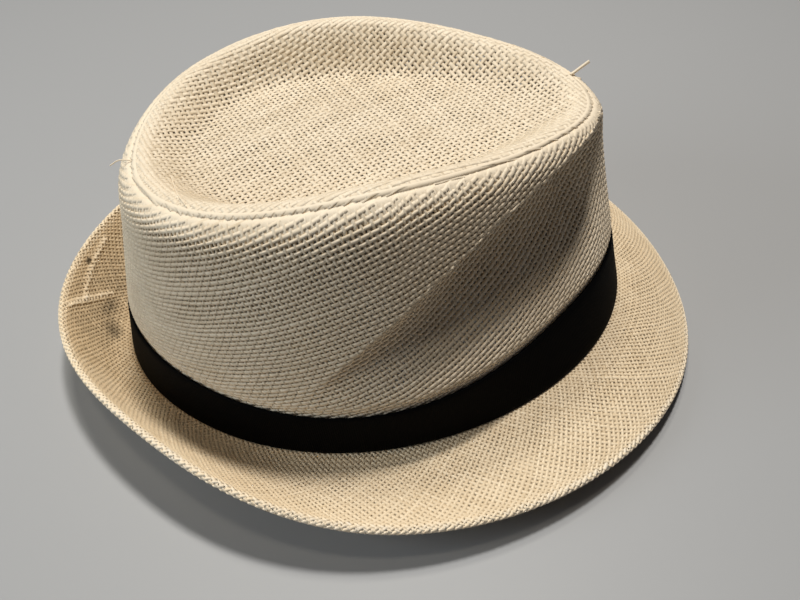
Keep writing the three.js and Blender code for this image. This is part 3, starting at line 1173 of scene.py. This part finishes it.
@dataclass
class CrownTip:
    """Teardrop tip of the crown: flat-cut cloth that follows the hollow down its walls."""

    form: HatForm
    yarn: Yarn
    pitch: float = 2.0
    grain: float = 26.0
    seam_gap: float = 0.25
    pressed: tuple[float, float] = (5.5, 12.0)
    wall_press: float = 1.3
    # Painted shade: how much darker the strands are on the hollow's steep walls, where shade falls.
    wall_painted_shade: float = 0.7
    ray_steps: int = 96
    slope_step: float = 0.2
    spare: float = 1.3
    seed: int = 200

    def __post_init__(self) -> None:
        """Lists the bearing of each seam point from the middle of the floor, and the cloth's length to it."""
        self.turns = np.linspace(-math.pi, math.pi, TABLE_STEPS + 1)
        offset = self.form.seam_oval(self.turns) - np.array([0.0, self.form.floor_centre, 0.0])
        self.bearings = np.unwrap(np.arctan2(offset[:, 0], -offset[:, 1]))
        shares = np.linspace(0, 1, self.ray_steps + 1)
        turn, share = np.meshgrid(self.turns, shares, indexing="ij")
        line = self.form.tip(turn, self.form.tip_ray(turn)[1] * (1 - share))
        steps = np.linalg.norm(np.diff(line, axis=1), axis=-1)
        lengths = np.concatenate([np.zeros((len(steps), 1)), np.cumsum(steps, axis=1)], axis=1)
        self.cloth_length = lengths[:, -1]
        self.plan_share = np.stack([np.interp(shares * row[-1], row, shares) for row in lengths])

    def polar(self, x: Array, y: Array) -> tuple[Array, Array]:
        """Turn and inset from the seam of a place seen from above."""
        bearing = np.arctan2(x, self.form.floor_centre - y)
        turn = np.interp(bearing, self.bearings, self.turns)
        _, length = self.form.tip_ray(turn)
        return turn, length - np.hypot(x, y - self.form.floor_centre)

    def laid(self, x: Array, y: Array) -> tuple[Array, Array]:
        """Turn and inset from the seam of a place in the cloth."""
        turn, _ = self.polar(x, y)
        whole = np.interp(turn, self.turns, self.cloth_length)
        share = np.hypot(x, y - self.form.floor_centre) / whole
        row = (turn + math.pi) / FULL_TURN * TABLE_STEPS
        column = np.clip(share, 0, 1) * self.ray_steps
        low_row = np.clip(row.astype(int), 0, TABLE_STEPS - 1)
        low_column = np.clip(column.astype(int), 0, self.ray_steps - 1)
        row, column = row - low_row, column - low_column
        table = self.plan_share
        start = table[low_row, low_column] * (1 - row) + table[low_row + 1, low_column] * row
        end = table[low_row, low_column + 1] * (1 - row) + table[low_row + 1, low_column + 1] * row
        plan = start + (end - start) * column
        return turn, self.form.tip_ray(turn)[1] * (1 - plan) - np.maximum(share - 1, 0) * whole

    def face_normal(self, x: Array, y: Array) -> Array:
        """Unit normal of the outer face at a place seen from above."""

        def height(px: Array, py: Array) -> Array:
            """Height of the outer face."""
            return self.form.tip(*self.polar(px, py))[..., 2]

        step = self.slope_step
        slope_x = (height(x + step, y) - height(x - step, y)) / (2 * step)
        slope_y = (height(x, y + step) - height(x, y - step)) / (2 * step)
        return unit(np.stack([-slope_x, -slope_y, np.ones_like(x)], -1))

    def surface(self, x: Array, y: Array) -> Patch:
        """Patch of the tip at a place in its cloth."""
        turn, inset = self.laid(x, y)
        inset = np.maximum(inset, 0)
        point = self.form.tip(turn, inset)
        normal = self.face_normal(point[..., 0], point[..., 1])
        clear = self.form.tip_clear(turn, inset)
        press = 1 - smooth(*self.pressed, clear)
        steep = 1 - normal[..., 2]
        # Painted shade darkens the hollow's steep walls, and the cloth pressed beside the seam is paler.
        wear_and_painted_light = self.wall_painted_shade * steep - PRESS_BLEACH * press
        press = np.minimum(press + self.wall_press * steep, 1)
        return Patch(point, normal, seam_dip(clear), press, wear_and_painted_light)

    def build(self, finish: bpy.types.Material) -> None:
        """Makes the woven tip."""
        grid = PlanGrid(self.pitch, self.grain)
        cloth = Cloth(self.form, self.yarn, self.pitch, self.seed)
        span = grid.span(self.form.seam_half[0] * self.spare)
        for family in Family:
            at = grid.coordinates(family)
            lines = cut_lines(*span, lambda f, r, at=at: self.laid(*at(f, r))[1] - self.seam_gap)
            paths = cloth.paths(lines, family, at, self.surface)
            dress(strand_mesh(f"crown_tip_{family.word}", paths, FULL_SIDES), finish, "crown_tip")


@dataclass
class Brim:
    """Short brim of two layers of bias-cut cloth, the upper one folded round the edge.

    Sizes are in millimetres. Shares of the brim's width run from 0 at its fold to 1 at its edge.
    """

    form: HatForm
    yarn: Yarn
    slant: float = 43.0
    lines_round: int = 298
    measured_share: float = 0.6
    hem: float = 4.0
    hem_lap: float = 1.0
    pressed: tuple[float, float] = (0.42, 0.62)
    press_strength: float = 0.9
    edge_share: float = 0.97
    edge_loose: float = 2.0
    edge_set_back: float = 6.0
    # Width of the band inside the brim's edge where the strands turn paler, and how much paler.
    edge_paling_width: float = 2.5
    edge_paling: float = 0.6
    # Painted highlight: how much paler the strands are along the creases' ridges.
    crease_painted_highlight: float = 1.6
    creases: tuple[Crease, ...] = (
        Crease((184, 29), (174, 13), 0.6, 1.3),
        Crease((164, 27), (179.5, 22.5), 0.5, 1.2),
    )
    # Real stains, with two patches of painted shade among them.
    marks: tuple[Mark, ...] = (
        # Broad painted shade over the back of the brim.
        Mark(178.0, 16.0, 55.0, 26.0, 0.9),
        Mark(184.5, 8.0, 5.0, 3.5, 0.7),
        # Painted shadow just below a crease.
        Mark(177.5, 12.0, 5.0, 3.0, 0.5),
        Mark(170.8, 27.3, 1.2, 1.2, 2.4),
    )
    backing_depth: float = 0.52
    backing_wall: float = 0.4
    backing_shares: tuple[float, float] = (0.95, 0.02)
    backing_samples: tuple[int, int] = (240, 8)
    seed: int = 300

    def __post_init__(self) -> None:
        """Measures the middle of the brim."""
        turns = np.linspace(0, FULL_TURN, TABLE_STEPS + 1)
        self.girth = Girth(turns, self.form.brim(turns, np.full_like(turns, self.measured_share)))
        self.grid = StripGrid(self.girth.whole, self.slant, self.lines_round, self.lines_round)
        self.cloth = Cloth(self.form, self.yarn, self.grid.steps[0], self.seed, self.girth.whole)

    def width_at(self, turn: Array) -> Array:
        """Width of the brim."""
        return self.form.section("brim_width", turn)

    def reach_at(self, turn: Array, distance: Array) -> Array:
        """Share of the brim's width at a distance along its upper face."""
        start = 2 * self.form.brim_curl
        share = np.clip(distance / self.width_at(turn), 0, 1)
        return (-start + np.sqrt(start**2 + 4 * (1 - start) * share)) / (2 * (1 - start))

    def relief(self, place: Array, distance: Array) -> Array:
        """Height of the creases."""
        total = np.zeros_like(place)
        spot = np.stack([place % self.girth.whole, distance], -1)
        for crease in self.creases:
            ends = (crease.start, crease.end)
            start, end = (np.array([self.girth.place_at(turn), out]) for turn, out in ends)
            along = end - start
            share = np.clip(((spot - start) @ along) / (along @ along), 0, 1)
            gap = np.linalg.norm(spot - start - share[..., None] * along, axis=-1)
            total = total + crease.height * np.exp(-((gap / crease.half_width) ** 2))
        return total

    def wear_and_painted_light(self, place: Array, distance: Array) -> Array:
        """Stains and painted shade from the marks, painted highlight along the creases, and a paler tone
        towards the edge.
        """
        over = distance - self.width_at(self.girth.turn_at(place))
        bleached_and_highlight = self.edge_paling * smooth(-self.edge_paling_width, 0, over)
        # Painted highlight along the creases' ridges.
        bleached_and_highlight = bleached_and_highlight + self.crease_painted_highlight * self.relief(place, distance)
        return stains_and_painted_shade(self.marks, self.girth, place, distance) - bleached_and_highlight

    def face(self, place: Array, distance: Array) -> tuple[Array, Array, Array]:
        """Turn, upward normal and point of the upper face, which runs on level inside the fold."""
        form, turn = self.form, self.girth.turn_at(place)
        reach = self.reach_at(turn, distance)
        up = form.brim_up(turn, np.clip(reach, NUDGE, 1 - NUDGE))
        shelf = form.outward(form.fold_oval, turn) * np.minimum(distance, 0)[..., None]
        return turn, up, form.brim(turn, reach) + shelf

    def upper(self, place: Array, distance: Array) -> Patch:
        """Patch of the upper layer, past the edge folded under."""
        turn, up, point = self.face(place, distance)
        edge = np.ones_like(turn)
        edge_out = unit(self.form.brim(turn, edge) - self.form.brim(turn, edge * self.edge_share))
        width = self.width_at(turn)
        over = distance - width
        beyond = np.maximum(over, 0)
        radius = self.form.brim_wall / 2
        angle = np.minimum(beyond / radius, math.pi)
        under = np.maximum(beyond - math.pi * radius, 0)
        turned = up * np.cos(angle)[..., None] + edge_out * np.sin(angle)[..., None]
        back = radius * smooth(-self.edge_set_back, 0, over) + under
        point = point + (turned - up) * radius - edge_out * back[..., None]
        press = self.press_strength * smooth(*self.pressed, distance / width)
        press = press * (1 - smooth(-self.edge_loose, 0, over))
        return Patch(point, turned, self.relief(place, distance), press, self.wear_and_painted_light(place, distance))

    def under(self, place: Array, distance: Array) -> Patch:
        """Patch of the lower layer."""
        turn, up, point = self.face(place, distance)
        even = np.zeros_like(turn)
        return Patch(point - up * self.form.brim_wall, -up, -self.relief(place, distance), even, even)

    def build(self, finish: bpy.types.Material) -> None:
        """Makes the two woven layers."""
        form = self.form
        inner = -(form.ribbon_wall + form.gap + form.straw_wall)
        wrap = math.pi * form.brim_wall / 2
        widest = self.width_at(self.girth.turns).max()
        layers = (
            ("brim", self.upper, wrap + self.hem, FINE_STEP),
            ("brim_under", self.under, -self.hem - self.hem_lap, COARSE_STEP),
        )
        for name, surface, past, step in layers:
            for family in Family:
                at = self.grid.coordinates(family)

                def room(fixed: Array, running: Array, at: GridMap = at, past: float = past) -> Array:
                    """Distance inside the layer."""
                    place, distance = at(fixed, running)
                    outer = self.width_at(self.girth.turn_at(place)) + past
                    return np.minimum(distance - inner, outer - distance)

                lines = cut_lines(*self.grid.span(family, inner, widest + past, step), room)
                paths = self.cloth.paths(lines, family, at, surface)
                dress(strand_mesh(f"{name}_{family.word}", paths, FEW_SIDES), finish, "brim")

    def build_backing(self, finish: bpy.types.Material) -> None:
        """Makes the plain layer between the two, which shows through the holes of the weave."""
        turn = np.linspace(0, FULL_TURN, self.backing_samples[0], endpoint=False)
        upper, lower = [], []
        for share in np.linspace(*self.backing_shares, self.backing_samples[1]):
            reach = np.full_like(turn, share)
            up = self.form.brim_up(turn, reach)
            upper.append(self.form.brim(turn, reach) - up * self.backing_depth)
            lower.append(upper[-1] - up * self.backing_wall)
        loops = self.form.place(np.stack(upper + lower[::-1], 1))
        dress(ring_mesh("brim_backing", loops, self.girth.whole * MM), finish)


@dataclass
class Ribbon:
    """Plain ribbon round the foot of the crown, with rounded edges and a faint ripple.

    Its edges are given as shares of its height and of its wall, its ripple in millimetres.
    """

    form: HatForm
    steps: int = 360
    rows: int = 12
    edge_share: float = 0.012
    edge_depth: float = 0.12
    top_depths: tuple[float, float] = (0.4, 0.7)
    foot_depth: float = 0.5
    ripple: float = 0.12
    ripple_waves: tuple[float, float] = (180.0, 40.0)
    ripple_reach: tuple[float, float] = (90.0, 20.0)
    seed: int = 11

    def profile(self) -> list[tuple[float, float]]:
        """Section of the ribbon: shares of its height and depths from its outer face."""
        wall = self.form.ribbon_wall
        shares = np.linspace(0, 1, self.rows)
        outer = [(share, 0.0) for share in shares[1:-1]]
        foot = (self.edge_share, wall * self.edge_depth)
        shoulder = (1 - self.edge_share, wall * self.edge_depth)
        top = [(1.0, wall * depth) for depth in self.top_depths]
        inner = [(share, wall) for share in shares[::-1]]
        return [foot, *outer, shoulder, *top, *inner, (0.0, wall * self.foot_depth)]

    def build(self, finish: bpy.types.Material) -> None:
        """Makes the ribbon."""
        turn = np.linspace(0, FULL_TURN, self.steps, endpoint=False)
        ripple = Wander(self.seed, *self.ripple_waves)
        loops = []
        for share, depth in self.profile():
            up = np.full_like(turn, share)
            wave = self.ripple * ripple(turn * self.ripple_reach[0], up * self.ripple_reach[1])
            loops.append(self.form.ribbon(turn, up, depth - wave * (depth == 0)))
        points = self.form.place(np.stack(loops, 1))
        length = np.linalg.norm(np.diff(points[:, 0], axis=0), axis=-1).sum()
        dress(ring_mesh("ribbon_band_cloth", points, float(length)), finish, "ribbon_band")


def stitch_tree() -> bpy.types.NodeTree:
    """Geometry tree that lays short stitches along a path."""
    shortest, longest, seed = 0.85, 1.12, 4
    build = NodeTree(bpy.data.node_groups.new("stitch_run", "GeometryNodeTree"))
    build.socket("Path", "NodeSocketGeometry")
    for name in ("Step", "Length", "Thread"):
        build.socket(name, "NodeSocketFloat")
    build.socket("Thread Finish", "NodeSocketMaterial")
    build.socket("Stitches", "NodeSocketGeometry", output=True)
    given = build.add("NodeGroupInput").outputs
    spaced = build.add(
        "GeometryNodeResampleCurve", {"Curve": given["Path"], "Length": given["Step"]}, mode="LENGTH"
    )
    bead = build.add("GeometryNodeMeshIcoSphere", {"Radius": 0.5, "Subdivisions": 2})
    size = build.add("ShaderNodeCombineXYZ", {0: given["Thread"], 1: given["Thread"], 2: given["Length"]})
    ahead = build.add("GeometryNodeInputTangent")
    turned = build.add("FunctionNodeAlignRotationToVector", {"Vector": ahead.outputs[0]}, axis="Z")
    uneven = build.add("FunctionNodeRandomValue", {2: shortest, 3: longest, "Seed": seed}, data_type="FLOAT")
    scaled = build.add(
        "ShaderNodeVectorMath", {0: size.outputs[0], "Scale": uneven.outputs[1]}, operation="SCALE"
    )
    nodes = {"Points": spaced, "Instance": bead, "Rotation": turned, "Scale": scaled}
    placing = {name: node.outputs[0] for name, node in nodes.items()}
    laid = build.add("GeometryNodeInstanceOnPoints", placing)
    build.give_out(laid.outputs[0], given["Thread Finish"], "Stitches")
    return build.tree


def thread_tree() -> bpy.types.NodeTree:
    """Geometry tree that turns paths into round threads."""
    sides, step = 6, 0.0012
    build = NodeTree(bpy.data.node_groups.new("loose_thread", "GeometryNodeTree"))
    build.socket("Path", "NodeSocketGeometry")
    build.socket("Thickness", "NodeSocketFloat")
    build.socket("Thread Finish", "NodeSocketMaterial")
    build.socket("Threads", "NodeSocketGeometry", output=True)
    given = build.add("NodeGroupInput").outputs
    radius = build.math("MULTIPLY", given["Thickness"], 0.5)
    ring = build.add("GeometryNodeCurvePrimitiveCircle", {"Resolution": sides, "Radius": radius})
    fine = build.add("GeometryNodeResampleCurve", {"Curve": given["Path"], "Length": step}, mode="LENGTH")
    tube = build.add(
        "GeometryNodeCurveToMesh",
        {"Curve": fine.outputs[0], "Profile Curve": ring.outputs[0], "Fill Caps": True},
    )
    build.give_out(tube.outputs[0], given["Thread Finish"], "Threads")
    return build.tree


def grown(
    name: str, points: Array, tree: bpy.types.NodeTree, values: dict[str, object], cyclic: bool
) -> bpy.types.Object:
    """Runs a geometry tree on a curve and keeps the result as a plain mesh.

    Args:
        name: Name of the piece.
        points: Points of the curve in metres.
        tree: Geometry tree to run.
        values: Values of the tree's named inputs.
        cyclic: Whether the curve closes on itself.

    Returns:
        The new object.
    """
    curve = bpy.data.curves.new(name + "_path", "CURVE")
    curve.dimensions = "3D"
    spline = curve.splines.new("POLY")
    spline.points.add(len(points) - 1)
    weighted = np.column_stack([points, np.ones(len(points))])
    spline.points.foreach_set("co", weighted.astype(np.float32).ravel())
    spline.use_cyclic_u = cyclic
    holder = linked(name + "_path", curve)
    modifier = holder.modifiers.new("grow", "NODES")
    modifier.node_group = tree
    for item in tree.interface.items_tree:
        if item.in_out == "INPUT" and item.name in values:
            modifier[item.identifier] = values[item.name]
    graph = bpy.context.evaluated_depsgraph_get()
    mesh = bpy.data.meshes.new_from_object(holder.evaluated_get(graph), depsgraph=graph)
    mesh.name = name
    holder.modifiers.clear()
    bpy.data.objects.remove(holder)
    bpy.data.curves.remove(curve)
    mesh.shade_smooth()
    return linked(name, mesh)


@dataclass
class Seam:
    """Seam between side and tip: turned-in cloth behind it and a row of stitches in its groove.

    Sizes are in millimetres. The cloth's shares run from 0 at the seam to 1 at its cut edge.
    """

    form: HatForm
    side: CrownSide
    side_allowance: float = 5.0
    tip_allowance: float = 8.5
    shares: tuple[float, ...] = (1.0, 0.75, 0.5, 0.3, 0.18, 0.1, 0.03)
    wall: float = 0.4
    depth: float = 0.46
    sink: float = 0.5
    side_welt: float = 0.12
    tip_welt: float = 0.32
    welt_share: float = 0.2
    mapped_length: float = 460.0
    stitch_offset: float = 0.8
    stitch_depth: float = 0.45
    stitch_step: float = 3.0
    stitch_length: float = 2.2
    stitch_thread: float = 0.4
    offset_rounds: int = 4
    steps: int = 360

    def __post_init__(self) -> None:
        """Lists the angles of the seam's steps."""
        self.turn = np.linspace(0, FULL_TURN, self.steps, endpoint=False)

    def depth_at(self, share: float, allowance: float, welt: float) -> float:
        """Depth of the turned-in cloth below the face.

        Args:
            share: Share of the cloth's width, from the seam.
            allowance: Width of the turned-in cloth.
            welt: How far the cloth comes up beside the seam, over the strand ends.

        Returns:
            The depth in millimetres.
        """
        rise = welt if share < self.welt_share else 0.0
        return self.depth + self.sink * share**2 - rise - float(seam_dip(np.array(share * allowance)))

    def build_allowance(self, finish: bpy.types.Material) -> None:
        """Makes the turned-in cloth that backs the seam."""
        form, turn, run = self.form, self.turn, self.side.run_at(self.turn)
        rows = []
        for share in self.shares:
            deep = self.depth_at(share, self.side_allowance, self.side_welt)
            rows.append((form.side, 1 - share * self.side_allowance / run, deep))
        for share in self.shares[::-1]:
            deep = self.depth_at(share, self.tip_allowance, self.tip_welt)
            rows.append((form.tip, np.full_like(turn, share * self.tip_allowance), deep))
        outer, inner = [], []
        for face, measure, deep in rows:
            normal = form.normal(face, turn, measure)
            outer.append(face(turn, measure) - normal * deep)
            inner.append(face(turn, measure) - normal * (deep + self.wall))
        loops = form.place(np.stack(outer + inner[::-1], 1))
        dress(ring_mesh("seam_allowance", loops, self.mapped_length * MM), finish)

    def build_stitches(self, finish: bpy.types.Material) -> None:
        """Makes the row of stitches sunk in the groove of the seam."""
        form, turn = self.form, self.turn
        inset = np.full_like(turn, self.stitch_offset)
        for _ in range(self.offset_rounds):
            inset = inset * self.stitch_offset / form.tip_clear(turn, inset)
        sunk = self.stitch_depth - float(seam_dip(np.array(self.stitch_offset)))
        row = form.place(form.tip(turn, inset) - form.normal(form.tip, turn, inset) * sunk)
        sizes = {"Step": self.stitch_step, "Length": self.stitch_length, "Thread": self.stitch_thread}
        values = {name: size * MM for name, size in sizes.items()}
        values["Thread Finish"] = finish
        declare(grown("seam_stitch", row, stitch_tree(), values, True))


@dataclass(frozen=True)
class Thread:
    """Loose thread: where it leaves the seam, in degrees, and its bends from there in millimetres."""

    turn: float
    inset: float
    bends: tuple[Place, ...]
    thickness: float


@dataclass
class LooseThreads:
    """Ends of yarn that have worked out of the seam, and one that lies on the tip.

    The lying thread's points are in degrees round the hat and millimetres from the seam.
    """

    form: HatForm
    ends: tuple[Thread, ...] = (
        Thread(17, 0.3, ((0.3, -1.0, 0.2), (0.4, -3.8, 2.1), (0.3, -6.9, 4.3)), 1.1),
        Thread(187, 0.3, ((0.2, 1.5, 0.6), (0.4, 4.5, 0.9), (-0.4, 7.6, -0.4)), 0.45),
        Thread(193, 0.2, ((0.0, 1.2, -1.5), (-0.5, 2.8, -2.6), (-0.2, 3.2, -4.2)), 0.6),
    )
    root_depth: float = 0.8
    lying: tuple[tuple[float, float], ...] = ((201, 11.5), (206, 10.5), (213, 8.0), (220, 4.6), (225, 2.0))
    lying_lift: float = 0.1
    lying_thickness: float = 0.35

    def build(self, finish: bpy.types.Material) -> None:
        """Makes the threads."""
        tree = thread_tree()
        threads = []
        for number, end in enumerate(self.ends):
            root = self.form.tip(np.radians([end.turn]), np.array([end.inset]))[0]
            root = root - np.array([0.0, 0.0, self.root_depth])
            points = np.array([root, *(root + np.array(bend) for bend in end.bends)])
            threads.append((f"loose_thread_{number + 1}", points, end.thickness))
        turn, inset = np.radians([row[0] for row in self.lying]), np.array([row[1] for row in self.lying])
        points = self.form.tip(turn, inset) + np.array([0.0, 0.0, self.lying_lift])
        threads.append(("lying_thread", points, self.lying_thickness))
        for name, points, thickness in threads:
            values = {"Thickness": thickness * MM, "Thread Finish": finish}
            declare(grown(name, self.form.place(points), tree, values, False))


@dataclass(frozen=True)
class Lamp:
    """Soft round lamp aimed at the crown: place and size in metres, power in watts, linear colour."""

    name: str
    place: Place
    size: float
    power: float
    colour: tuple[float, float, float]


@dataclass
class Studio:
    """Pale floor, soft lights and the camera. Places in metres, angles in degrees, lens in millimetres."""

    camera_place: Place = (-0.2468, 0.0144, 0.2498)
    azimuth: float = -94.91
    elevation: float = 45.10
    roll: float = -1.11
    lens: float = 36.0
    sensor: float = 36.0
    clip: tuple[float, float] = (0.01, 20.0)
    floor_half: float = 3.0
    floor_colour: Colour = (0.36, 0.36, 0.36, 1.0)
    floor_roughness: float = 0.55
    aim: Place = (0.0, 0.0, 0.05)
    lamps: tuple[Lamp, ...] = (
        Lamp("key", (0.28, -0.10, 1.25), 0.16, 11.2, (1.0, 0.98, 0.95)),
        Lamp("beyond", (0.44, 0.10, 1.20), 0.16, 3.6, (1.0, 0.97, 0.88)),
        Lamp("behind", (-0.10, 0.20, 1.25), 0.16, 1.5, (1.0, 0.9, 0.75)),
        Lamp("fill", (-0.25, 1.05, 0.5), 0.6, 5.6, (0.82, 0.92, 1.0)),
    )
    sky_colour: Colour = (0.9, 0.9, 1.0, 1.0)
    sky_strength: float = 0.055

    def build_camera(self) -> None:
        """Makes the camera at the photograph's angle."""
        turn, rise = math.radians(self.azimuth), math.radians(self.elevation)
        back = Vector((math.sin(turn) * math.cos(rise), -math.cos(turn) * math.cos(rise), math.sin(rise)))
        right = Vector((0, 0, 1)).cross(back).normalized()
        up = back.cross(right)
        axes = Matrix((right, up, back)).transposed() @ Matrix.Rotation(math.radians(self.roll), 3, "Z")
        data = bpy.data.cameras.new("camera")
        data.lens, data.sensor_width = self.lens, self.sensor
        data.clip_start, data.clip_end = self.clip
        camera = linked("camera", data)
        camera.matrix_world = Matrix.Translation(self.camera_place) @ axes.to_4x4()
        bpy.context.scene.camera = camera

    def build_floor(self) -> None:
        """Makes the plain pale floor."""
        half = self.floor_half
        corners = [(-half, -half, 0), (half, -half, 0), (half, half, 0), (-half, half, 0)]
        mesh = bpy.data.meshes.new("floor")
        mesh.from_pydata(corners, [], [(0, 1, 2, 3)])
        floor = linked("floor", mesh)
        paint, build, shader = blank_material("floor_pale")
        build.fill(shader, {"Base Color": self.floor_colour, "Roughness": self.floor_roughness})
        mesh.materials.append(paint)

    def build_lights(self) -> None:
        """Makes the overhead lamps, the cool fill from behind the hat and an even sky."""
        for lamp in self.lamps:
            data = bpy.data.lights.new(lamp.name, "AREA")
            data.shape, data.size, data.energy, data.color = "DISK", lamp.size, lamp.power, lamp.colour
            holder = linked(lamp.name, data)
            holder.location = lamp.place
            sight = Vector(self.aim) - Vector(lamp.place)
            holder.rotation_euler = sight.to_track_quat("-Z", "Y").to_euler()
        world = bpy.data.worlds.new("studio")
        world.use_nodes = True
        sky = world.node_tree.nodes["Background"]
        NodeTree(world.node_tree).fill(sky, {"Color": self.sky_colour, "Strength": self.sky_strength})
        bpy.context.scene.world = world
        bpy.context.scene.view_settings.view_transform = "Standard"


def main() -> None:
    """Builds the hat's pieces in order round the frame."""
    logging.basicConfig(level=logging.INFO, format="%(name)s: %(message)s")
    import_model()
    form = HatForm()
    groups = {"yarn": yarn_group(), "handling": handling_group()}
    straw = StrawFinish("straw_cream").material(groups)
    brim_finish = StrawFinish("straw_brim", pale=(0.92, 0.76, 0.54, 1.0), deep=(0.64, 0.48, 0.29, 1.0))
    brim_straw = brim_finish.material(groups)
    studio = Studio()
    studio.build_camera()
    studio.build_floor()
    studio.build_lights()
    side = CrownSide(form, SIDE_YARN)
    side.build(straw)
    CrownTip(form, TIP_YARN).build(straw)
    brim = Brim(form, BRIM_YARN)
    brim.build(brim_straw)
    brim.build_backing(brim_straw)
    Ribbon(form).build(RibbonFinish().material())
    seam = Seam(form, side)
    seam.build_allowance(straw)
    seam.build_stitches(straw)
    LooseThreads(form).build(straw)


if __name__ == "__main__":
    main()
